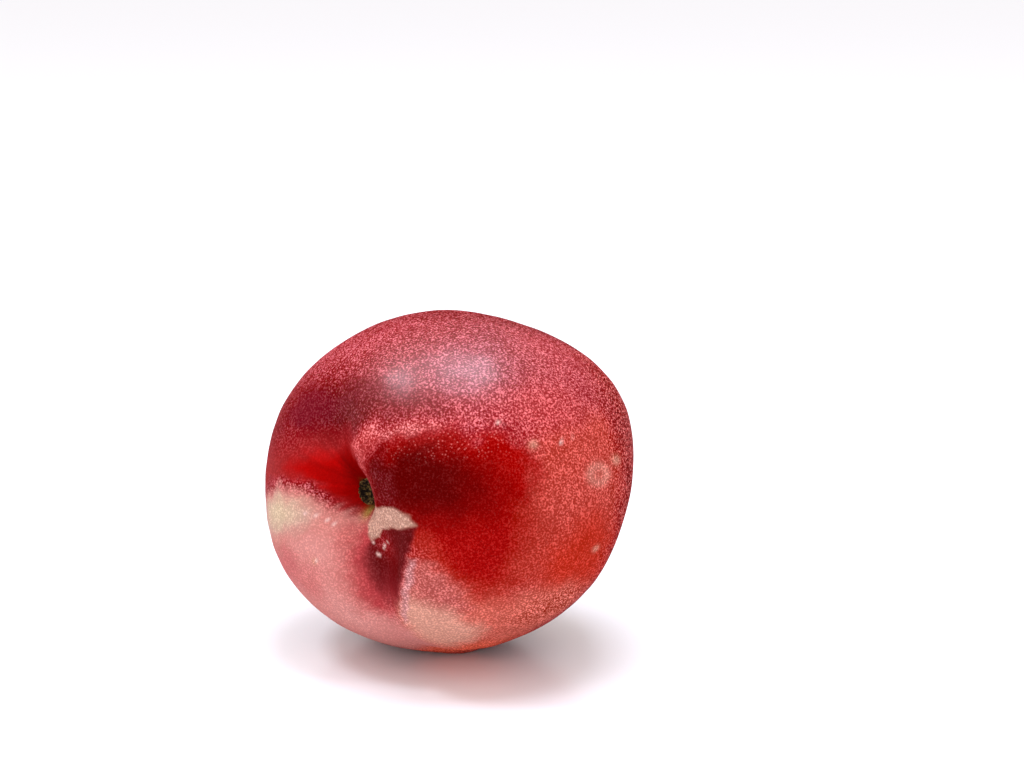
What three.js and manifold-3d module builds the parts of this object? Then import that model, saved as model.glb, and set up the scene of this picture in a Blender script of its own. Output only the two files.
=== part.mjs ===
// Nectarine: one whole ripe fruit, picked, lying on its side with its stem pit to the front.
// Millimetres, +Z up. The origin is the middle of the small flat spot that the fruit rests on.
//
// The flesh is one solid. Its surface is given as a distance from the fruit's middle in every
// direction, in the fruit's own axes: +Y runs out of the stem pit, +Z is the side with the suture,
// the furrow that runs from the pit to the tip, and +X is the near cheek. The fruit is then laid
// down, and the flat spot and the seat of the stem scar are cut.

import * as THREE from 'three';
import { mergeVertices } from 'three/addons/utils/BufferGeometryUtils.js';
import Module from 'manifold-3d';

// How far the skin is from the fruit's middle.
const CHEEK = 35.2;
const SUTURE_SIDE = 32.3;
const BACK = 30.5;
const STEM_END = 32.9;
const TIP_END = 32.1;
const FULLNESS = 2.14; // 2 is an ellipsoid, more is squarer

// The broad swellings and flats that make this fruit a little irregular: where each one is, in
// degrees from the stem and round from the suture, its height and its width in degrees.
const SWELLINGS = [
  { polar: 128, turn: 116, rise: 0.8, width: 17 },
  { polar: 110, turn: 152, rise: -0.75, width: 20 },
  { polar: 85, turn: 182, rise: 0.55, width: 24 },
  { polar: 63, turn: 210, rise: -0.6, width: 24 },
  { polar: 48, turn: 256, rise: -1.3, width: 26 },
  { polar: 65, turn: 326, rise: -0.85, width: 26 },
  { polar: 91, turn: 358, rise: -0.7, width: 22 },
  { polar: 99, turn: 353, rise: 1.0, width: 14 },
  { polar: 113, turn: 24, rise: -1.2, width: 20 },
  { polar: 129, turn: 59, rise: -2.3, width: 20 },
];

// The stem pit is a narrow hollow in a wide shallow bowl. Its middle is a little off the axis.
const PIT_DEPTH = 8.2;
const PIT_RADIUS = 6.95;
const PIT_STEEPNESS = 2.5; // gives it a flat floor and steep walls
const PIT_TO_CHEEK = 0.5;
const PIT_TO_SUTURE = 2.8;
const BOWL_DEPTH = 3.6;
const BOWL_RADIUS = 14;

// The suture is deep and wide beside the pit and a fine crease from there to the tip. Places along
// it are in degrees from the stem.
const FURROW = { depth: 4.8, at: 29, reach: 15 };
const CREASE_DEPTH = 0.45;
const TIP_DIMPLE = { depth: 1.0, at: 180, reach: 12 };
const SUTURE_BEND = { aside: 4.6, at: 33, reach: 20 };
const NEAR_BANK = { narrow: 2.2, extra: 6, at: 25, reach: 13, steepness: 2.4 };
const FAR_BANK = { narrow: 2.4, extra: 5.5, at: 22, reach: 20, steepness: 1.7 };

// On the other side of the pit a short valley runs off between the shoulders.
const VALLEY = { depth: 4.2, turn: 188, out: 10.3, length: 7.7, width: 7.1 };
const TIP_HOLLOW = { depth: 1.6, reach: 9 };

// How the fruit lies: its stem end is a little raised, the suture is turned from straight down,
// and the middle is this far from the flat spot.
const STEM_RISE = 9;
const ROLL = 16;
const MIDDLE = new THREE.Vector3(2.05, -1.65, 32.2);

// The stem scar: the dry woody ring that the stalk leaves, in a seat in the bottom of the pit.
const SCAR_RADIUS = 2.6;
const SCAR_PROUD = 1.4; // above the bottom of the pit
const SCAR_SUNK = 1.6; // below it
const SCAR_HOLLOW = 1.0;
const SCAR_RAGGED = 0.25;
const SEAT_GAP = 0.3;

const COLUMNS = 80;
const ROWS = 40;
const CROWDING = 0.45; // crowds the rows at the pit and the columns at the suture
const SCAR_COLUMNS = 28;

const rad = THREE.MathUtils.degToRad;
const deg = THREE.MathUtils.radToDeg;
const hump = (x, middle, reach) => Math.exp(-(((x - middle) / reach) ** 2));
const ease = THREE.MathUtils.smoothstep;

// A direction from the middle, by its degrees from the stem and round from the suture.
const direction = (polar, turn) => new THREE.Vector3().setFromSphericalCoords(1, rad(polar), rad(turn));

// The rounded body, before any hollow: a squared ellipsoid with its swellings.
function bodyRadius(out) {
  const parts = [
    out.x / CHEEK,
    out.y / (out.y > 0 ? STEM_END : TIP_END),
    out.z / (out.z > 0 ? SUTURE_SIDE : BACK),
  ];
  let radius = parts.reduce((sum, part) => sum + Math.abs(part) ** FULLNESS, 0) ** (-1 / FULLNESS);
  for (const { polar, turn, rise, width } of SWELLINGS) {
    radius += rise * hump(deg(out.angleTo(direction(polar, turn))), 0, width);
  }
  return radius;
}

// How deep the pit is at a place x across and z towards the suture, in millimetres.
function pitDepth(x, z) {
  const away = Math.hypot(x - PIT_TO_CHEEK, z - PIT_TO_SUTURE);
  const narrow = PIT_DEPTH * Math.exp(-((away / PIT_RADIUS) ** PIT_STEEPNESS));
  return narrow + BOWL_DEPTH * hump(away, 0, BOWL_RADIUS);
}

// The valley is a hump-shaped hollow, longer away from the pit than across.
function valleyDepth(x, z) {
  const turn = rad(VALLEY.turn);
  const along = z * Math.cos(turn) + x * Math.sin(turn);
  const across = x * Math.cos(turn) - z * Math.sin(turn);
  return VALLEY.depth * hump(along, VALLEY.out, VALLEY.length) * hump(across, 0, VALLEY.width);
}

// The suture: a furrow whose line bends towards the near cheek beside the pit, with one steep bank
// and one gentle one.
function sutureDepth(x, z, polar) {
  const furrow = FURROW.depth * hump(polar, FURROW.at, FURROW.reach);
  const dimple = TIP_DIMPLE.depth * hump(polar, TIP_DIMPLE.at, TIP_DIMPLE.reach);
  const depth = furrow + CREASE_DEPTH * ease(polar, 8, 30) + dimple;
  const side = x - SUTURE_BEND.aside * hump(polar, SUTURE_BEND.at, SUTURE_BEND.reach);
  const bank = side > 0 ? NEAR_BANK : FAR_BANK;
  const width = bank.narrow + bank.extra * hump(polar, bank.at, bank.reach);
  return depth * ease(z, -3, 5) * Math.exp(-(Math.abs(side / width) ** bank.steepness));
}

// The skin's distance from the middle, in one direction.
function skinRadius(out) {
  const body = bodyRadius(out);
  const x = body * out.x;
  const z = body * out.z;
  const polar = deg(Math.acos(THREE.MathUtils.clamp(out.y, -1, 1)));
  const stemHalf = ease(out.y, 0, 0.35);
  const hollow = TIP_HOLLOW.depth * hump(polar, 180, TIP_HOLLOW.reach);
  return body - stemHalf * (pitDepth(x, z) + valleyDepth(x, z)) - sutureDepth(x, z, polar) - hollow;
}

// From the fruit's own axes to the way it lies.
const LIE = new THREE.Matrix4()
  .makeTranslation(MIDDLE.x, MIDDLE.y, MIDDLE.z)
  .multiply(new THREE.Matrix4().makeRotationX(rad(180 - STEM_RISE)))
  .multiply(new THREE.Matrix4().makeRotationY(rad(ROLL)));

// Moves a ball's points to the skin, closer together at the pit and along the suture.
function fleshGeometry() {
  const geometry = new THREE.SphereGeometry(1, COLUMNS, ROWS);
  const points = geometry.getAttribute('position');
  const point = new THREE.Vector3();
  const place = new THREE.Spherical();
  for (let i = 0; i < points.count; i++) {
    place.setFromVector3(point.fromBufferAttribute(points, i));
    const along = place.phi / Math.PI;
    place.phi *= 1 - CROWDING + CROWDING * along;
    place.theta -= CROWDING * Math.sin(place.theta);
    point.setFromSpherical(place);
    point.multiplyScalar(skinRadius(point));
    points.setXYZ(i, point.x, point.y, point.z);
  }
  return geometry;
}

// The scar's profile, from its foot round its broken rim to the hollow where the stalk was.
function scarGeometry() {
  const rim = SCAR_SUNK + SCAR_PROUD;
  const profile = [
    [0, 0],
    [SCAR_RADIUS, 0],
    [SCAR_RADIUS, SCAR_SUNK],
    [SCAR_RADIUS * 0.95, rim - 0.3],
    [SCAR_RADIUS * 0.75, rim],
    [SCAR_RADIUS * 0.5, rim - 0.35],
    [SCAR_RADIUS * 0.3, rim - SCAR_HOLLOW],
    [0, rim - SCAR_HOLLOW],
  ].map(([radius, height]) => new THREE.Vector2(radius, height));
  const geometry = new THREE.LatheGeometry(profile, SCAR_COLUMNS);
  const points = geometry.getAttribute('position');
  for (let i = 0; i < points.count; i++) {
    const turn = Math.atan2(points.getX(i), points.getZ(i));
    const raised = ease(points.getY(i), SCAR_SUNK, rim);
    const ragged = Math.sin(3 * turn + 1) * 0.5 + Math.sin(7 * turn) * 0.3 + Math.sin(11 * turn + 2) * 0.2;
    points.setY(i, points.getY(i) + SCAR_RAGGED * ragged * raised);
  }
  return geometry;
}

const wasm = await Module();
wasm.setup();

// A closed three.js geometry as a solid that can be cut.
function toSolid(geometry) {
  const bare = geometry.clone();
  bare.deleteAttribute('normal');
  bare.deleteAttribute('uv');
  const merged = mergeVertices(bare);
  return new wasm.Manifold(new wasm.Mesh({
    numProp: 3,
    vertProperties: Float32Array.from(merged.getAttribute('position').array),
    triVerts: Uint32Array.from(merged.getIndex().array),
  }));
}

function toGeometry(solid) {
  const { vertProperties, triVerts } = solid.getMesh();
  const geometry = new THREE.BufferGeometry();
  geometry.setAttribute('position', new THREE.BufferAttribute(vertProperties, 3));
  geometry.setIndex(new THREE.BufferAttribute(triVerts, 1));
  geometry.computeVertexNormals();
  return geometry;
}

function named(name, geometry, material) {
  const mesh = new THREE.Mesh(geometry, material);
  mesh.name = name;
  return mesh;
}

const skin = new THREE.MeshStandardMaterial({ color: 0x9e1c22, roughness: 0.4, metalness: 0 });
const bark = new THREE.MeshStandardMaterial({ color: 0x3a2a18, roughness: 0.9, metalness: 0 });

// The scar stands on the pit's bottom, along the stem's axis.
const pitBottom = new THREE.Vector3(PIT_TO_CHEEK, STEM_END, PIT_TO_SUTURE).normalize();
pitBottom.multiplyScalar(skinRadius(pitBottom));
const scar = scarGeometry().translate(pitBottom.x, pitBottom.y - SCAR_SUNK, pitBottom.z);

// The seat is a round hole, deeper and wider than the scar by the gap between them.
const SEAT_HEIGHT = 10;
const seatFloor = pitBottom.y - SCAR_SUNK - SEAT_GAP;
const seat = new THREE.CylinderGeometry(SCAR_RADIUS + SEAT_GAP, SCAR_RADIUS + SEAT_GAP, SEAT_HEIGHT, SCAR_COLUMNS)
  .translate(pitBottom.x, seatFloor + SEAT_HEIGHT / 2, pitBottom.z);

// Everything below the level that it lies on is cut away, which leaves the flat spot.
const BELOW = 20;
const ground = new THREE.BoxGeometry(4 * CHEEK, 4 * CHEEK, BELOW).translate(0, 0, -BELOW / 2);

const flesh = toSolid(fleshGeometry().applyMatrix4(LIE))
  .subtract(toSolid(ground))
  .subtract(toSolid(seat.applyMatrix4(LIE)));

const nectarine = new THREE.Group();
nectarine.add(named('fruit', toGeometry(flesh), skin));
nectarine.add(named('stem_scar', scar.applyMatrix4(LIE), bark));

export default nectarine;
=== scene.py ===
import math

import bpy
import numpy as np
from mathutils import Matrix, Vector


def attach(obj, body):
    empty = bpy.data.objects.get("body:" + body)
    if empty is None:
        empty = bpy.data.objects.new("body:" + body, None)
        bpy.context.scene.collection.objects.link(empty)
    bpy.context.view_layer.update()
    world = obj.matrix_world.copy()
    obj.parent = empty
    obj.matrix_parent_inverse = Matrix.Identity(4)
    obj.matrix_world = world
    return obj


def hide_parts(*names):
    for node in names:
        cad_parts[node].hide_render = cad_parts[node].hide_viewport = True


# A whole nectarine, lying on its side with its stem pit to the front. Metres, in the frame's axes.
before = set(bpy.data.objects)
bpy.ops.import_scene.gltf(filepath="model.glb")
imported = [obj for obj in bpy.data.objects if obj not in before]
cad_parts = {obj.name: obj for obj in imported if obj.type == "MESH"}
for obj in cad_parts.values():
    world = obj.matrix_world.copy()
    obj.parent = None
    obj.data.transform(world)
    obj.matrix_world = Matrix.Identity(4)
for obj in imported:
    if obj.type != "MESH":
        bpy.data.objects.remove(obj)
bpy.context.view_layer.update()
MM = 0.001

# The view. An 85 mm lens looks at the fruit from the side of its stem pit, a little from above.
# The fruit's middle falls to the left of and below the picture's middle.
IMAGE_WIDTH, IMAGE_HEIGHT = 1024, 784
LENS, SENSOR = 85.0, 36.0
VIEW_ROUND, VIEW_UP = math.radians(43), math.radians(15)
PIXELS_PER_MM = 5.42
MIDDLE = Vector((2.05, -1.65, 32.2)) * MM
MIDDLE_X, MIDDLE_Y = 446.7, 478.0

to_camera = Vector((
    math.sin(VIEW_ROUND) * math.cos(VIEW_UP),
    -math.cos(VIEW_ROUND) * math.cos(VIEW_UP),
    math.sin(VIEW_UP),
))
to_right = Vector((math.cos(VIEW_ROUND), math.sin(VIEW_ROUND), 0))
upwards = to_camera.cross(to_right)
distance = IMAGE_WIDTH / PIXELS_PER_MM * LENS / SENSOR * MM
aim = MIDDLE.copy()
aim += to_right * (IMAGE_WIDTH / 2 - MIDDLE_X) / PIXELS_PER_MM * MM
aim += upwards * (MIDDLE_Y - IMAGE_HEIGHT / 2) / PIXELS_PER_MM * MM

camera_data = bpy.data.cameras.new("camera")
camera_data.lens, camera_data.sensor_width = LENS, SENSOR
camera_data.clip_start, camera_data.clip_end = 0.01, 20
camera = bpy.data.objects.new("camera", camera_data)
camera.location = MIDDLE + to_camera * distance
camera.rotation_euler = (aim - camera.location).to_track_quat("-Z", "Y").to_euler()
bpy.context.collection.objects.link(camera)
bpy.context.scene.camera = camera


def panel(name, place, size, power, colour):
    """A soft square light panel that faces the fruit."""
    data = bpy.data.lights.new(name, "AREA")
    data.shape, data.size, data.energy, data.color = "SQUARE", size, power, colour
    lamp = bpy.data.objects.new(name, data)
    lamp.location = place
    lamp.rotation_euler = (MIDDLE - lamp.location).to_track_quat("-Z", "Y").to_euler()
    bpy.context.collection.objects.link(lamp)


# The light. A tent all round, bright overhead and dim towards the horizon, lights the fruit and
# the table evenly. Two soft boxes, one above and one to the left, make the sheens on the top, and
# a large weak panel low behind the camera fills the underside.
panel("box_above", Vector((0, 0, 0.70)) + to_right * 0.05, 0.30, 3.3, (0.81, 0.86, 1.0))
panel("box_left", Vector((0, 0, 0.62)) - to_right * 0.34, 0.16, 1.6, (0.80, 0.88, 1.0))
panel("fill_low", to_camera * 1.3 - to_right * 0.6 + Vector((0, 0, 0.09)), 0.8, 6.5, (1.0, 0.985, 0.97))

world = bpy.data.worlds.new("tent")
world.use_nodes = True
background = world.node_tree.nodes["Background"]
background.inputs["Color"].default_value = (1.0, 0.985, 1.0, 1)
bpy.context.scene.view_settings.view_transform = "Standard"


class Wire:
    """A socket in the material that is being wired. Arithmetic on wires adds Math nodes."""

    tree = None

    def __init__(self, socket):
        self.socket = socket

    @classmethod
    def node(cls, kind, settings=None, sockets=None, output=0):
        """Adds a node of a kind: first its settings, then the values or wires of its sockets."""
        made = cls.tree.nodes.new(kind)
        for name, value in (settings or {}).items():
            setattr(made, name, value)
        for name, value in (sockets or {}).items():
            if isinstance(value, Wire):
                cls.tree.links.new(value.socket, made.inputs[name])
            else:
                made.inputs[name].default_value = value
        return cls(made.outputs[output])

    def math(self, operation, other, turned=False):
        first, second = (other, self) if turned else (self, other)
        return Wire.node("ShaderNodeMath", {"operation": operation}, {0: first, 1: second})

    def __add__(self, other):
        return self.math("ADD", other)

    __radd__ = __add__

    def __sub__(self, other):
        return self.math("SUBTRACT", other)

    def __rsub__(self, other):
        return self.math("SUBTRACT", other, turned=True)

    def __mul__(self, other):
        return self.math("MULTIPLY", other)

    __rmul__ = __mul__

    def step(self, low, high):
        """A smooth step from 0 at low to 1 at high."""
        settings = {"interpolation_type": "SMOOTHSTEP"}
        return Wire.node("ShaderNodeMapRange", settings, {0: self, 1: low, 2: high})


def blend_colour(amount, under, over):
    """A colour over another, by an amount from 0 to 1."""
    sockets = {0: amount}
    for index, colour in ((6, under), (7, over)):
        sockets[index] = colour if isinstance(colour, Wire) else (*colour, 1)
    return Wire.node("ShaderNodeMix", {"data_type": "RGBA"}, sockets, 2)


def vector(operation, first, second=(0.0, 0.0, 0.0), **sockets):
    """Vector arithmetic on two colours."""
    return Wire.node("ShaderNodeVectorMath", {"operation": operation}, {0: first, 1: second, **sockets})


def painted(name, output=2):
    """The value, or with output 0 the colour, that a piece's mesh holds at each point under this name."""
    return Wire.node("ShaderNodeAttribute", {"attribute_name": name}, output=output)


def grain(size, detail=2.0, roughness=0.5, seed=0.0):
    """Soft noise from about 0.3 to 0.7, with lumps of this size in metres."""
    place = Wire.node("ShaderNodeTexCoord", output=3)
    sockets = {"Vector": place, "W": seed, "Scale": 1 / size, "Detail": detail, "Roughness": roughness}
    return Wire.node("ShaderNodeTexNoise", {"noise_dimensions": "4D"}, sockets)


def start_material(name):
    """A new material, empty but for its shader, with its wires ready to be added."""
    material = bpy.data.materials.new(name)
    material.use_nodes = True
    Wire.tree = material.node_tree
    return material, material.node_tree.nodes["Principled BSDF"]


def plug(shader, sockets):
    """Sets the shader's sockets to constants or joins them to wires."""
    for name, value in sockets.items():
        socket = shader.inputs[name]
        if isinstance(value, Wire):
            Wire.tree.links.new(value.socket, socket)
        else:
            socket.default_value = value


TENT_HORIZON, TENT_RISE = 0.34, 0.80
Wire.tree = world.node_tree
height = Wire.node("ShaderNodeSeparateXYZ", {}, {0: Wire.node("ShaderNodeTexCoord")}, 2)
strength = TENT_HORIZON + TENT_RISE * height.step(-0.05, 0.75)
Wire.tree.links.new(strength.socket, background.inputs["Strength"])
bpy.context.scene.world = world

# The table top: a plain pale surface that goes past every edge of the picture, matte but for a
# faint polish round the fruit.
TABLE_HALF = 6.0
table_mesh = bpy.data.meshes.new("table_top")
corners = [(-1, -1), (1, -1), (1, 1), (-1, 1)]
table_mesh.from_pydata([(x * TABLE_HALF, y * TABLE_HALF, 0) for x, y in corners], [], [(0, 1, 2, 3)])
board, shader = start_material("table_top")
place = Wire.node("ShaderNodeTexCoord", output=3)
away = Wire.node("ShaderNodeVectorMath", {"operation": "LENGTH"}, {0: place}, 1)
plug(shader, {
    "Base Color": (0.93, 0.92, 0.93, 1),
    "Roughness": 0.6,
    "Specular IOR Level": 0.0,
    "Coat Weight": 1 - away.step(0.10, 0.45),
    "Coat Roughness": 0.22,
})
table_mesh.materials.append(board)
table_top = bpy.data.objects.new("table_top", table_mesh)
bpy.context.collection.objects.link(table_top)


# The fruit: one grown piece of flesh under a thin smooth skin. Its form is a squared ball with
# broad swellings, a deep stem pit between two shoulders, a furrow from the pit down to the tip
# and a small flat spot where it lies. The sizes are the frame's own, in millimetres and degrees.
CHEEK, SUTURE_SIDE, BACK, STEM_END, TIP_END = 35.2, 32.3, 30.5, 32.9, 32.1
FULLNESS = 2.14
SWELLINGS = (  # degrees from the stem, degrees round from the suture, rise, width in degrees
    (128, 116, 0.8, 17), (110, 152, -0.75, 20), (85, 182, 0.55, 24), (63, 210, -0.6, 24),
    (48, 256, -1.3, 26), (65, 326, -0.85, 26), (91, 358, -0.7, 22), (99, 353, 1.0, 14),
    (113, 24, -1.2, 20), (129, 59, -2.3, 20),
)
PIT_DEPTH, PIT_RADIUS, PIT_STEEPNESS = 8.2, 6.95, 2.5
PIT_TO_CHEEK, PIT_TO_SUTURE = 0.5, 2.8
BOWL_DEPTH, BOWL_RADIUS = 3.6, 14
SEAT_DEPTH, SEAT_RADIUS, SEAT_STEEPNESS = 1.0, 4.5, 8
VALLEY_DEPTH, VALLEY_TURN, VALLEY_OUT, VALLEY_LENGTH, VALLEY_WIDTH = 4.2, 188, 10.3, 7.7, 7.1
FURROW_DEPTH, FURROW_AT, FURROW_REACH = 4.8, 29, 15
CREASE_DEPTH = 0.45
BEND_ASIDE, BEND_AT, BEND_REACH = 4.6, 33, 20
NEAR_BANK = (2.2, 6, 25, 13, 2.4)  # half width, what is added to it, where, its reach, steepness
FAR_BANK = (2.4, 5.5, 22, 20, 1.7)
TIP_DIMPLE, TIP_DIMPLE_REACH = 1.0, 12
TIP_HOLLOW, TIP_HOLLOW_REACH = 1.6, 9
STEM_RISE, ROLL = math.radians(9), math.radians(16)
FLAT_EDGE = 0.12
ROWS, COLUMNS, CROWDING = 250, 392, 0.45


def hump(x, middle, reach):
    return np.exp(-(((x - middle) / reach) ** 2))


def ease(x, low, high):
    t = np.clip((x - low) / (high - low), 0, 1)
    return t * t * (3 - 2 * t)


def direction(polar, turn):
    """Unit vectors in the fruit's own axes: X to the near cheek, Y out of the stem pit, Z to the suture."""
    return np.stack([np.sin(polar) * np.sin(turn), np.cos(polar), np.sin(polar) * np.cos(turn)], -1)


def body_radius(out):
    """The squared ball: the power sum of each part over its half size, and a hump for each swelling."""
    x, y, z = out[..., 0], out[..., 1], out[..., 2]
    half_y = np.where(y > 0, STEM_END, TIP_END)
    half_z = np.where(z > 0, SUTURE_SIDE, BACK)
    parts = abs(x / CHEEK) ** FULLNESS + abs(y / half_y) ** FULLNESS + abs(z / half_z) ** FULLNESS
    radius = parts ** (-1 / FULLNESS)
    for polar, turn, rise, width in SWELLINGS:
        away = np.arccos(np.clip(out @ direction(np.radians(polar), np.radians(turn)), -1, 1))
        radius = radius + rise * hump(np.degrees(away), 0, width)
    return radius


def pit_depth(x, z):
    """A narrow hollow with a flat floor and steep walls in a wide shallow one, both round."""
    away = np.hypot(x - PIT_TO_CHEEK, z - PIT_TO_SUTURE)
    narrow = PIT_DEPTH * np.exp(-((away / PIT_RADIUS) ** PIT_STEEPNESS))
    return narrow + BOWL_DEPTH * hump(away, 0, BOWL_RADIUS)


def seat_depth(x, z):
    """The seat of the stem scar: a shallow flat-bottomed sink in the pit's floor."""
    away = np.hypot(x - PIT_TO_CHEEK, z - PIT_TO_SUTURE)
    return SEAT_DEPTH * np.exp(-((away / SEAT_RADIUS) ** SEAT_STEEPNESS))


def valley_depth(x, z):
    """A short hollow that runs off from the pit between the shoulders."""
    turn = math.radians(VALLEY_TURN)
    along = z * math.cos(turn) + x * math.sin(turn)
    across = x * math.cos(turn) - z * math.sin(turn)
    return VALLEY_DEPTH * hump(along, VALLEY_OUT, VALLEY_LENGTH) * hump(across, 0, VALLEY_WIDTH)


def bank_power(side, polar, narrow, extra, at, reach, steepness):
    """0 in the furrow's bed and more up the bank; at 1 the furrow has lost two thirds of its depth."""
    return abs(side / (narrow + extra * hump(polar, at, reach))) ** steepness


def suture_depth(x, z, polar):
    """A furrow that is deep and wide beside the pit and a fine crease to the tip, with a steep near bank."""
    depth = FURROW_DEPTH * hump(polar, FURROW_AT, FURROW_REACH) + CREASE_DEPTH * ease(polar, 8, 30)
    depth = depth + TIP_DIMPLE * hump(polar, 180, TIP_DIMPLE_REACH)
    side = x - BEND_ASIDE * hump(polar, BEND_AT, BEND_REACH)
    bank = np.where(side > 0, bank_power(side, polar, *NEAR_BANK), bank_power(side, polar, *FAR_BANK))
    return depth * ease(z, -3, 5) * np.exp(-bank)


def skin_radius(out):
    """How far the skin is from the fruit's middle in each direction: the body less its hollows."""
    body = body_radius(out)
    x, z = body * out[..., 0], body * out[..., 2]
    polar = np.degrees(np.arccos(np.clip(out[..., 1], -1, 1)))
    hollows = ease(out[..., 1], 0, 0.35) * (pit_depth(x, z) + valley_depth(x, z))
    tip_hollow = TIP_HOLLOW * hump(polar, 180, TIP_HOLLOW_REACH)
    return body - hollows - suture_depth(x, z, polar) - tip_hollow


def lay_down(points):
    """From the fruit's own axes to the way it lies: rolled about the stem's axis, then tipped."""
    c, s = math.cos(ROLL), math.sin(ROLL)
    roll = np.array([[c, 0, s], [0, 1, 0], [-s, 0, c]])
    c, s = math.cos(math.pi - STEM_RISE), math.sin(math.pi - STEM_RISE)
    tip = np.array([[1, 0, 0], [0, c, -s], [0, s, c]])
    return points @ (tip @ roll).T * MM + np.array(MIDDLE)


def lumps(out, size, seed):
    """Soft irregular lumps, about -1 to 1: the sum of slanted waves of about this many degrees."""
    draw = np.random.default_rng(seed)
    total = np.zeros(out.shape[:-1])
    for _ in range(14):
        slant = draw.normal(size=3)
        slant *= draw.uniform(0.7, 1.4) * 360 / size / np.linalg.norm(slant)
        total += np.sin(out @ slant + draw.uniform(0, 2 * math.pi))
    return total / 4


# Rows run from the pit to the tip and columns round the fruit, closer at the pit and the suture.
rows = np.linspace(0, 1, ROWS + 1)[1:-1]
polar = math.pi * rows * (1 - CROWDING + CROWDING * rows)
turn = np.linspace(-math.pi, math.pi, COLUMNS, endpoint=False)
turn = turn - CROWDING * np.sin(turn)
polar, turn = np.meshgrid(polar, turn, indexing="ij")
poles = np.array([[0.0, 1, 0], [0, -1, 0]])
out = np.concatenate([direction(polar, turn).reshape(-1, 3), poles])
dimples = 0.09 * lumps(out, 26, 3) + 0.03 * lumps(out, 9, 4)
body = body_radius(out)
seat = seat_depth(body * out[:, 0], body * out[:, 2]) * (out[:, 1] > 0)
points = lay_down(out * (skin_radius(out) + dimples - seat)[:, None])
# The skin flattens on the table, with a soft edge to the flat spot.
edge = FLAT_EDGE * MM
points[:, 2] = (points[:, 2] + np.sqrt(points[:, 2] ** 2 + edge**2 / 4)) / 2

grid = np.arange((ROWS - 1) * COLUMNS).reshape(ROWS - 1, COLUMNS)
right = np.roll(grid, -1, 1)
quads = np.stack([grid[:-1], grid[1:], right[1:], right[:-1]], -1).reshape(-1, 4)
first, last = grid.size, grid.size + 1
caps = [(first, a, b) for a, b in zip(grid[0], right[0])]
caps += [(last, b, a) for a, b in zip(grid[-1], right[-1])]

fruit_mesh = bpy.data.meshes.new("fruit_skin")
fruit_mesh.from_pydata(points, [], quads.tolist() + caps)
fruit_mesh.shade_smooth()
fruit = bpy.data.objects.new("fruit_skin", fruit_mesh)
bpy.context.collection.objects.link(fruit)

# The colours of the skin. Each point has a tone, the contrast of the fine speckle in it, the
# strength of its pale dots and its gloss. Like glazes, patches of other tones are laid over the
# base one by one. Places are in degrees from the stem towards the near cheek and towards the
# suture, and the edges wander a little.
away_from_stem = np.degrees(np.arccos(np.clip(out[:, 1], -1, 1)))
flat_turn = np.arctan2(out[:, 0], out[:, 2])
to_cheek = away_from_stem * np.sin(flat_turn)
to_suture = away_from_stem * np.cos(flat_turn)
wander = 1.0 * lumps(out, 11, 5) + 0.6 * lumps(out, 4, 6)
wander_too = 1.0 * lumps(out, 11, 7) + 0.6 * lumps(out, 4, 8)

CREAM, BUTTER = (0.50, 0.335, 0.24), (0.56, 0.46, 0.28)
BLUSH, PEACH = (0.50, 0.18, 0.16), (0.54, 0.25, 0.185)
SALMON, ROSE = (0.475, 0.060, 0.046), (0.385, 0.052, 0.060)
SCARLET, RED, CRIMSON = (0.44, 0.025, 0.012), (0.29, 0.0015, 0.0008), (0.088, 0.0002, 0.0002)
BERRY, PLUM, MAROON = (0.285, 0.024, 0.033), (0.14, 0.006, 0.012), (0.095, 0.002, 0.003)
LILAC, GOLD, OLIVE = (0.50, 0.22, 0.22), (0.34, 0.24, 0.05), (0.10, 0.075, 0.015)

tone = np.tile(np.array(BERRY), (len(out), 1))
contrast = np.full(len(out), 0.63)
dots = np.full(len(out), 0.8)
gloss = np.full(len(out), 0.13)


def outline(places, soft, ragged=1.0):
    """1 inside a polygon of (to cheek, to suture) places and 0 outside, by the distance to its edge."""
    point = np.stack([to_cheek + ragged * wander, to_suture + ragged * wander_too], -1)
    nearest, inside = np.full(len(out), 1e9), np.zeros(len(out), bool)
    for a, b in zip(np.array(places, float), np.roll(np.array(places, float), -1, 0)):
        edge, from_a = b - a, point - a
        share = np.clip(from_a @ edge / (edge @ edge), 0, 1)
        nearest = np.minimum(nearest, np.linalg.norm(from_a - share[:, None] * edge, axis=1))
        crosses = (a[1] > point[:, 1]) != (b[1] > point[:, 1])
        inside ^= crosses & ((from_a[:, 0] * edge[1] < from_a[:, 1] * edge[0]) == (edge[1] > 0))
    return ease(np.where(inside, nearest, -nearest), -soft, soft)


def oval(cheek, suture, length, width, soft=0.5):
    """1 inside an oval and 0 outside: its middle and its half sizes."""
    a, b = to_cheek + wander - cheek, to_suture + wander_too - suture
    return 1 - ease(np.hypot(a / length, b / width), 1 - soft, 1 + soft)


def spot(cheek, suture, size):
    """1 in the middle of a round spot, fading out at about its size."""
    return hump(np.hypot(to_cheek - cheek, to_suture - suture), 0, size)


def glaze(amount, new_tone, new_contrast=0.12, new_dots=0.0, new_gloss=0.08):
    """Lays a tone with its speckle, dots and gloss over the skin, by an amount from 0 to 1."""
    global tone, contrast, dots, gloss
    tone = tone + amount[:, None] * (np.array(new_tone) - tone)
    contrast = contrast + amount * (new_contrast - contrast)
    dots = dots + amount * (new_dots - dots)
    gloss = gloss + amount * (new_gloss - gloss)


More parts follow.
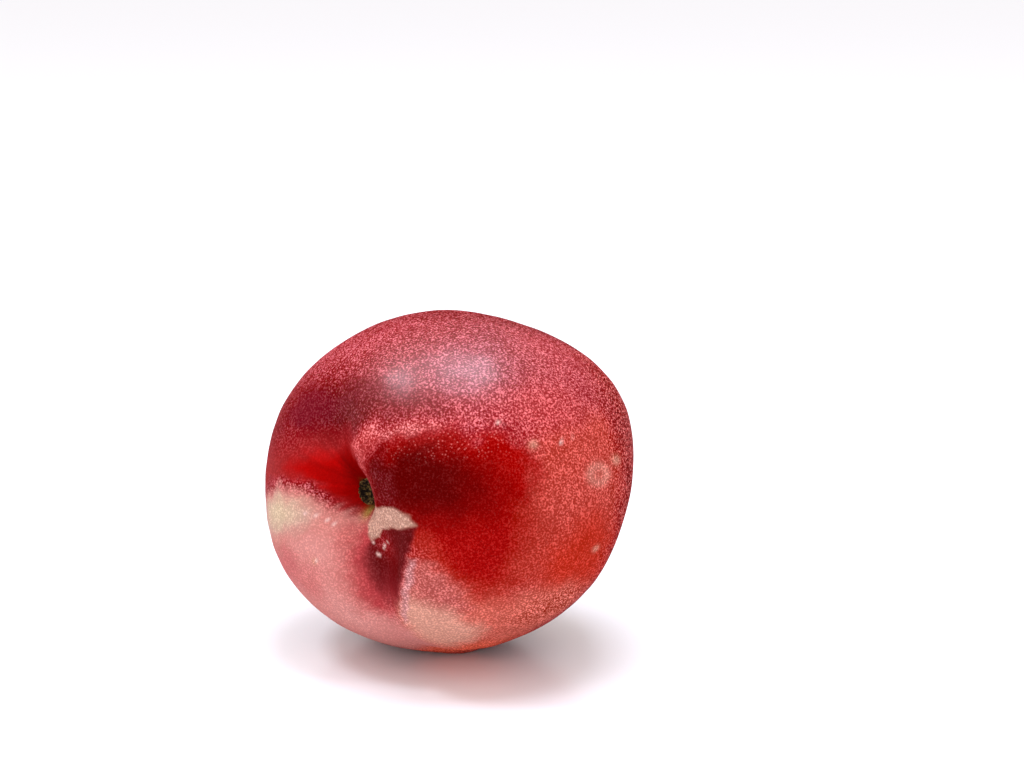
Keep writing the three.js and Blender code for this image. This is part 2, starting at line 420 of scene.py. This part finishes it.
# The crown: a rosy lilac patch round the main sheen on its top, which is painted highlight, a rosier
# patch to its left, deep red along the far edge, which is painted shade, and dark red at the right
# end with strong pale dots that are painted glints.
# Painted highlight: the wide lobe of the main sheen, rosier and lilac.
glaze(0.7 * oval(54, -36, 18, 20, 0.8), (0.29, 0.043, 0.062), 0.56, 0.8, 0.13)
glaze(0.7 * oval(2, -52, 30, 9, 0.8), (0.33, 0.040, 0.050), 0.60, 0.8, 0.13)
# Painted shade: the far top edge darker.
glaze(0.8 * ease(-to_suture, 58, 78), (0.19, 0.006, 0.009), 0.65, 1.2, 0.03)
# Dark red with strong pale dots; the dots are painted glints.
glaze(0.9 * oval(93, -46, 14, 20, 0.8), (0.24, 0.018, 0.021), 0.80, 2.2, 0.05)

# The far side: deep red cheeks with bare cream ground between them round the tip, which has a dry
# point and the end of the suture, drawn as a dark line of painted shade in its crease. Fine streaks
# from the stem to the tip feather the borders.
feather = 0.30 * np.sin(29 * flat_turn + 3 * wander) + 0.25 * np.sin(53 * flat_turn + 2 * wander_too)
pale = lumps(out, 70, 12) + feather
dark = feather - lumps(out, 55, 14)
far_cheek = ease(-to_cheek, 55, 110) * ease(lumps(out, 60, 13) + feather, -1.2, 0.8)
glaze(far_cheek, (0.31, 0.007, 0.007), 0.40, 0.5, 0.12)
glaze(0.8 * ease(away_from_stem, 100, 150) * ease(pale, -0.9, 0.5), (0.50, 0.15, 0.12), 0.45, 0.3)
glaze(0.8 * ease(away_from_stem, 105, 150) * ease(pale, 0.0, 1.1), CREAM, 0.40, 0.0)
glaze(0.9 * ease(away_from_stem, 105, 145) * ease(dark, -0.1, 1.1), (0.15, 0.002, 0.003), 0.45, 0.6, 0.12)
glaze(0.5 * hump(away_from_stem, 180, 8), PEACH, 0.20)
# Painted shade: a dark line along the suture's crease towards the tip.
glaze(0.5 * hump(32 * out[:, 0], 0, 0.8) * (out[:, 2] > 0) * ease(away_from_stem, 80, 105), PLUM)
glaze(0.9 * hump(away_from_stem, 180, 1.6), (0.09, 0.045, 0.02), 0.5)

# The broad sides: dotted rose above, salmon to the right, darker red along the right edge, which is
# painted shade, with strong pale dots there that are painted glints, scarlet low on the right, pale
# below, and bright orange at the bottom, which is painted bounce light from the table.
glaze(outline([
    (58, -60), (70, -24), (40, -20), (18, -19), (20, -13), (66, -8), (76, 30), (115, 30), (115, -70),
], 12), ROSE, 0.53, 0.6, 0.12)
glaze(outline([
    (62, 4), (74, -18), (96, -22), (112, -4), (106, 40), (86, 62), (60, 50), (52, 40), (58, 22),
], 9), SALMON, 0.40, 0.30, 0.05)
# Painted shade along the right edge, darker red, with strong pale dots that are painted glints.
glaze(outline([
    (86, -62), (97, -40), (104, -12), (104, 20), (93, 46), (78, 66), (96, 70), (120, 20), (112, -60),
], 11), (0.30, 0.010, 0.006), 0.85, 2.4, 0.03)
glaze(outline([(64, 34), (88, 22), (96, 40), (80, 66), (60, 70), (56, 52)], 9), SCARLET, 0.26, 0.1, 0.03)
glaze(outline([
    (26, 30), (40, 34), (52, 46), (68, 56), (66, 72), (40, 84), (-10, 84), (4, 56),
], 9), (0.52, 0.108, 0.078), 0.30)
# Painted bounce light: the bottom, towards the table, bright orange.
glaze(oval(8, 84, 24, 13, 0.6), (0.78, 0.13, 0.07), 0.40)
glaze(oval(72, -20, 13, 10, 0.8), (0.44, 0.055, 0.058), 0.48, 0.6, 0.10)
glaze(oval(60, 66, 14, 10, 0.8), (0.50, 0.10, 0.073), 0.60)
near_side = ease(to_cheek, -66, -40)  # fades what is seen from the front out towards the far cheek
glaze(near_side * outline([
    (-80, 18), (-30, 18), (-6, 18), (2, 30), (4, 46), (12, 56), (8, 72), (-30, 72), (-80, 60),
], 7), BLUSH, 0.13)
glaze(oval(-34, 24, 12, 7, 0.7), (0.45, 0.115, 0.11), 0.16)

# Round the stem pit: plum above, deepened with painted shade in the valley between the shoulders; a
# saturated red wall on the left, darker with painted shade in the pit's upper side; a pale lobe below
# it; and a pink crest along the near shoulder's lip, which is painted highlight. Fine streaks run out
# from the pit.
PIT_CHEEK, PIT_SUTURE = 5, 3
round_pit = np.arctan2(to_suture - PIT_SUTURE, to_cheek - PIT_CHEEK)
from_pit = np.hypot(to_suture - PIT_SUTURE, to_cheek - PIT_CHEEK)
streaks = np.sin(11 * round_pit + 2 + 0.5 * wander) + np.sin(23 * round_pit + wander)
streaks = streaks + 0.6 * np.sin(41 * round_pit + 1)
streaks = streaks / 3 * hump(from_pit, 20, 13) * ease(-to_cheek, -10, 2)
glaze(outline([
    (-48, -30), (-30, -36), (-12, -40), (8, -37), (22, -33), (38, -26), (42, -20), (30, -18.5),
    (10, -18), (-4, -13), (-46, -10),
], 5), (0.20, 0.009, 0.014), 0.42, 0.5, 0.10)
glaze(oval(2, -26, 17, 8, 0.7), PLUM, 0.30, 0.5, 0.08)
glaze(oval(-14, -27, 11, 7, 0.8), PLUM, 0.20, 0.1, 0.08)
# Painted shade: darker in the valley between the shoulders, above the crest.
glaze(0.6 * oval(9, -23, 13, 3.5, 0.8), (0.14, 0.004, 0.008), 0.5, 0.4, 0.06)
glaze(oval(-5, -17, 13, 5, 0.7), (0.17, 0.004, 0.006), 0.20, 0.1, 0.06)
glaze(near_side * outline([
    (-80, -1), (-20, -1), (-9, 8), (-2, 13), (6, 15), (5, 24), (-8, 22), (-22, 18), (-80, 18),
], 3), (0.48, 0.165, 0.14), 0.13)
glaze(outline([
    (-26, 16), (-16, 15), (-8, 19), (-6, 30), (-12, 36), (-24, 30),
], 5), (0.54, 0.215, 0.19), 0.13)
glaze(0.8 * oval(-24, 30, 10, 7, 0.8), (0.46, 0.125, 0.115), 0.20)
glaze(oval(-11, 45, 10, 9, 0.8), (0.53, 0.215, 0.19), 0.18)
glaze(near_side * outline([
    (-80, 3), (-32, 1), (-21, 3), (-14, 10), (-20, 13), (-80, 14),
], 4), (0.47, 0.27, 0.215), 0.16)
glaze(0.55 * oval(-30, 6.5, 9, 4, 0.9), BUTTER, 0.22)
wall = near_side * outline([
    (-80, -40), (9, -40), (9, -12), (7, 0), (1, 13), (-4, 11), (-9, 6), (-13, -2), (-24, -4.5),
    (-80, -4),
], 2.5)
wall = wall * ease(to_suture, -24, -9)
glaze(wall, (0.265, 0.013, 0.013), 0.14)
glaze(wall * outline([
    (-22, -9), (-10, -14), (8, -12), (8, 4), (0, 13), (-8, 10), (-14, -1),
], 5), (0.32, 0.0006, 0.0005), 0.05, 0.0, 0.02)
# Painted shade: darker in the pit's upper side.
glaze(oval(3, -4, 7, 8, 0.6), (0.15, 0.0003, 0.0003), 0.03, 0.0, 0.02)
# Painted highlight: a pink crest along the near shoulder's lip, lit from above, with a paler streak on it.
glaze(outline([
    (6, -14), (12, -15.5), (24, -16), (38, -16), (40, -13.5), (26, -12), (17, -9), (14.5, -5),
    (14.5, 2), (16, 10), (12, 10), (11, -4),
], 2.2), (0.46, 0.065, 0.066), 0.50, 0.4, 0.06)
glaze(oval(28, -14, 10, 2.3, 0.7), (0.50, 0.11, 0.11), 0.60, 0.6, 0.1)
tone = tone * (1 + 0.20 * streaks * wall)[:, None]

# The near shoulder's flank: crimson blush deepened with painted shade where it turns from the light
# above, darkest in its heart, and a red tongue below it.
glaze(outline([
    (23, 13), (68, 10), (70, 28), (60, 44), (46, 50), (37, 44), (30, 33), (26, 22),
], 7), (0.38, 0.03, 0.02), 0.28, 0.2, 0.03)
glaze(outline([
    (30, 12), (60, 12), (62, 20), (58, 30), (52, 40), (45, 43), (39, 38), (34, 26), (30, 18),
], 7), RED, 0.20, 0.06, 0.03)
glaze(outline([
    (14.5, -4), (17, -9), (27, -12.5), (36, -12.5), (56, -11), (66, -6), (69, 3), (64, 13), (54, 18),
    (36, 17), (27, 12), (17, 8),
# Blush with painted shade: the flank darker under the crest, darkest in its heart.
], 4, 1.6), (0.30, 0.003, 0.002), 0.18, 0.10, 0.01)
glaze(oval(41, 10, 17, 8, 0.8), (0.18, 0.0005, 0.0005), 0.10, 0.05, 0.02)
glaze(oval(32, 2, 20, 11, 0.6), CRIMSON, 0.16, 0.0, 0.01)
dots = dots + 0.7 * oval(46, -9, 20, 5, 0.8)
glaze(oval(21, 1, 4.5, 9, 0.7), (0.115, 0.002, 0.005), 0.30, 0.15, 0.05)

# Below the pit: a bare cream patch; the furrow's dark maroon bed, which is blush deepened with
# painted shade, reddening up the far bank; and a pale bank beyond it, with a lilac-white band along
# its edge that is painted sheen.
glaze(outline([
    (25, 30), (31, 30), (36, 38), (36, 48), (22, 52), (11, 48), (19, 34),
], 4), (0.42, 0.095, 0.083), 0.36)
glaze(outline([(13, 43), (19, 40), (29, 48), (33, 61), (22, 70), (12, 70), (10, 56)], 5), PEACH, 0.20)
# The far bank reddens towards the bed: blush and painted shade.
glaze(0.7 * outline([
    (-7, 17), (2, 16), (6, 20), (5, 46), (-6, 44), (-9, 30),
], 6), (0.42, 0.075, 0.07), 0.22)
glaze(outline([
    (1, 18), (7, 20), (10, 30), (9, 42), (4, 48), (-2, 43), (-3, 30),
], 4.5), (0.37, 0.038, 0.043), 0.18)
bed = outline([
    (5, 23), (10, 20.5), (15, 18.5), (21, 17), (31, 16.8), (28, 21), (23.5, 27), (18.5, 33), (15, 38),
    (12.5, 43), (9, 48), (5, 43), (1, 36), (0, 28),
], 1.2, 0.6)
bed = bed * ease(to_cheek, -2, 7)
bed = bed * ease(-to_suture, -49, -37)
# Blush with painted shade: the bed maroon, darkest near the pit, lighter round (12, 24) where its painted
# glints lie.
glaze(bed, (0.19, 0.011, 0.014), 0.10)
glaze(bed * ease(-to_suture, -44, -30), MAROON, 0.20, 0.0, 0.08)
glaze(bed * spot(12, 24, 6), (0.24, 0.012, 0.015), 0.45, 0.0, 0.10)
# Painted sheen: a lilac-white band where the near bank's edge catches the light.
glaze(0.8 * outline([
    (26, 26), (28, 28), (21.5, 36), (16, 45), (11.5, 50), (12.5, 45), (17, 37), (22.5, 30),
], 1.3, 0.8), LILAC, 0.42)
glaze(outline([
    (5, 23), (4, 18), (6, 12.5), (11, 10), (19, 9.3), (25, 10.6), (29, 13.4), (31, 16), (27, 16.8),
    (20, 17), (15, 18.6), (10, 21.4),
], 0.8, 0.4), (0.44, 0.24, 0.18), 0.30)
glaze(0.8 * spot(1, 12.5, 2.6), GOLD)
glaze(ease(-from_pit, -9.5, -7) * ease(to_suture - to_cheek, -4, 4), OLIVE, 0.1, 0.0, 0.03)

# The waxy bloom on the top, and scattered marks: a pale ring, soft pale spots, one dark crumb and
# small bare flecks; the flecks in the furrow's bed are painted glints.
RING_CHEEK, RING_SUTURE = 91, 8
# The seven flecks from (10.5, 26.5) to (6, 24) lie in the furrow's bed and are painted glints; the rest are
# pale marks of the skin.
FLECKS_AND_GLINTS = (
    (77, -6.5), (77.6, -7.2), (81.5, -9), (57.6, -14.2), (10.5, 26.5), (11.3, 25.7), (12, 25), (14.5, 23.5),
    (6.5, 28.5), (7.3, 29), (6, 24), (-15, 24), (-14, 9.5), (-11, 12), (-17, 8), (-9, 14),
)
gloss = gloss + ease(-to_suture, 4, 24) * (0.72 * spot(50, -36, 26) + 0.57 * spot(25, -36, 14))
ring = np.hypot(to_cheek - RING_CHEEK, to_suture - RING_SUTURE)
glaze(0.65 * hump(ring, 4.0, 1.9) + 0.35 * spot(RING_CHEEK, RING_SUTURE, 4), (0.58, 0.20, 0.155), 0.34)
for cheek, suture, size in ((101, 2, 2.6), (84, 43, 1.6), (-16, 24, 1.2), (68, -6, 1.5)):
    glaze(0.8 * spot(cheek, suture, size), (0.54, 0.24, 0.17), 0.30)
glaze(0.8 * spot(59.3, -13.6, 0.5), (0.02, 0.005, 0.004))
# Pale flecks, and painted glints in the furrow's bed.
for cheek, suture in FLECKS_AND_GLINTS:
    glaze(0.85 * spot(cheek, suture, 0.6), (0.66, 0.42, 0.37))

alpha = np.ones((len(out), 1))
values = np.hstack([tone, alpha]).astype(np.float32).ravel()
fruit_mesh.attributes.new("tone", "FLOAT_COLOR", "POINT").data.foreach_set("color", values)
for name, values in (("contrast", contrast), ("dots", dots), ("gloss", gloss)):
    fruit_mesh.attributes.new(name, "FLOAT", "POINT").data.foreach_set("value", values.astype(np.float32))

# The speckle is paler and greyer where it is light. The bloom's gloss is a thin clear coat.
SPECKLE_SIZE, BLOTCH_SIZE, DOT_SPACING = 0.35 * MM, 2.2 * MM, 0.60 * MM
SPECKLE_PALE, DOT_PALE = (0.0, 0.125, 0.125), (0.30, 0.10, 0.09)
skin, shader = start_material("nectarine_skin")
fine = grain(SPECKLE_SIZE, 1.5, 0.5)
broad = grain(BLOTCH_SIZE, 2.0, 0.5, 3.0)
speckle = (fine + 0.18 * (broad - 0.5)).step(0.40, 0.67)
swing = (speckle * (1 + 1.3 * speckle) - 0.84) * painted("contrast")
colour = vector("SCALE", painted("tone", 0), Scale=1 + swing)
colour = vector("ADD", colour, vector("SCALE", SPECKLE_PALE, Scale=swing * painted("contrast")))
colour = vector("MAXIMUM", colour, (0.0, 0.0, 0.0))
place = Wire.node("ShaderNodeTexCoord", output=3)
cells = Wire.node("ShaderNodeTexVoronoi", {}, {"Vector": place, "Scale": 1 / DOT_SPACING})
dot = (1 - cells.step(0.10, 0.36)) * painted("dots")
colour = vector("ADD", colour, vector("SCALE", DOT_PALE, Scale=dot))
height = fine * 0.6 + broad * 0.25 + dot * 0.3
bump = Wire.node("ShaderNodeBump", {}, {"Strength": 1.0, "Distance": 0.05 * MM, "Height": height})
plug(shader, {
    "Base Color": colour,
    "Roughness": 0.4,
    "Specular IOR Level": 0.0,
    "Normal": bump,
    "Coat Weight": painted("gloss"),
    "Coat Roughness": 0.37,
    "Subsurface Weight": 0.08,
    "Subsurface Radius": (1.0, 0.3, 0.2),
    "Subsurface Scale": 0.0015,
})
fruit_mesh.materials.append(skin)
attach(fruit, "root")
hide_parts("fruit")

# The stem scar: the dry ring of woody tissue in the bottom of the pit where the stalk broke off.
# Its rim is ragged, its middle is a dark hollow, and it sits sunk in the flesh.
SCAR_RADIUS, SCAR_SUNK = 2.15, 1.5
SCAR_ASIDE, SCAR_ALONG, SCAR_OVAL = 0.35, -0.30, 1.12
SCAR_RINGS, SCAR_SPOKES = 60, 160
pit_bottom = np.array([PIT_TO_CHEEK, STEM_END, PIT_TO_SUTURE])
pit_bottom /= np.linalg.norm(pit_bottom)
pit_bottom = pit_bottom * skin_radius(pit_bottom)


def scar_surface(along, turn):
    """Round the scar's profile by its share: up the side, over the ragged rim and down into the hollow."""
    shares = [0, 0.30, 0.40, 0.50, 0.62, 0.80, 1]
    radius = np.interp(along, shares, [1, 1, 0.97, 0.86, 0.68, 0.35, 0]) * SCAR_RADIUS
    height = np.interp(along, shares, [-SCAR_SUNK, 1.0, 1.5, 1.6, 1.0, 0.5, 0.4])
    ragged = 0.5 * np.sin(3 * turn + 1) + 0.3 * np.sin(7 * turn) + 0.2 * np.sin(11 * turn + 2)
    fibres = np.sin(23 * turn + 2 * np.sin(2 * turn)) + 0.6 * np.sin(41 * turn + 1)
    rim = hump(along, 0.46, 0.14)
    height = height + rim * (0.25 * ragged + 0.10 * fibres) + 0.10 * hump(along, 0.72, 0.15) * fibres
    uneven = 0.05 * rim * np.sin(5 * turn + 0.7)
    radius = radius * (1 + uneven + 0.02 * fibres * ease(along, 0.2, 0.4) * (1 - along))
    x = SCAR_ASIDE + radius * np.sin(turn)
    z = SCAR_ALONG + SCAR_OVAL * radius * np.cos(turn)
    return np.stack([x, height, z], -1)


along, spoke = np.meshgrid(
    np.linspace(0, 1, SCAR_RINGS + 1)[:-1],
    np.linspace(0, 2 * math.pi, SCAR_SPOKES, endpoint=False), indexing="ij",
)
scar_points = scar_surface(along, spoke).reshape(-1, 3)
ends = scar_surface(np.array([0.0, 1.0]), np.array([0.0, 0.0]))
ends[0] = (SCAR_ASIDE, ends[0][1], SCAR_ALONG)
scar_points = lay_down(np.concatenate([scar_points, ends]) + pit_bottom)
scar_grid = np.arange(SCAR_RINGS * SCAR_SPOKES).reshape(SCAR_RINGS, SCAR_SPOKES)
scar_right = np.roll(scar_grid, -1, 1)
scar_quads = np.stack([scar_grid[:-1], scar_right[:-1], scar_right[1:], scar_grid[1:]], -1).reshape(-1, 4)
foot, middle = scar_grid.size, scar_grid.size + 1
scar_caps = [(foot, b, a) for a, b in zip(scar_grid[0], scar_right[0])]
scar_caps += [(middle, a, b) for a, b in zip(scar_grid[-1], scar_right[-1])]
scar_mesh = bpy.data.meshes.new("stem_scar_ring")
scar_mesh.from_pydata(scar_points, [], scar_quads.tolist() + scar_caps)
scar_mesh.shade_smooth()
hollow = np.concatenate([ease(along.ravel(), 0.44, 0.58), [0, 1]])
scar_mesh.attributes.new("hollow", "FLOAT", "POINT").data.foreach_set("value", hollow.astype(np.float32))
scar = bpy.data.objects.new("stem_scar_ring", scar_mesh)
bpy.context.collection.objects.link(scar)

bark, shader = start_material("dry_scar")
fibre = grain(0.7 * MM, 3.0, 0.7)
rim_colour = blend_colour(fibre.step(0.42, 0.64), (0.03, 0.010, 0.003), (0.24, 0.145, 0.045))
hollow_colour = blend_colour(fibre.step(0.46, 0.66), (0.006, 0.002, 0.001), (0.15, 0.085, 0.025))
bark_colour = blend_colour(painted("hollow"), rim_colour, hollow_colour)
bump = Wire.node("ShaderNodeBump", {}, {"Strength": 1.0, "Distance": 0.08 * MM, "Height": fibre})
plug(shader, {
    "Base Color": bark_colour,
    "Roughness": 0.75 + 0.2 * fibre,
    "Specular IOR Level": 0.1,
    "Normal": bump,
})
scar_mesh.materials.append(bark)
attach(scar, "root")
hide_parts("stem_scar")
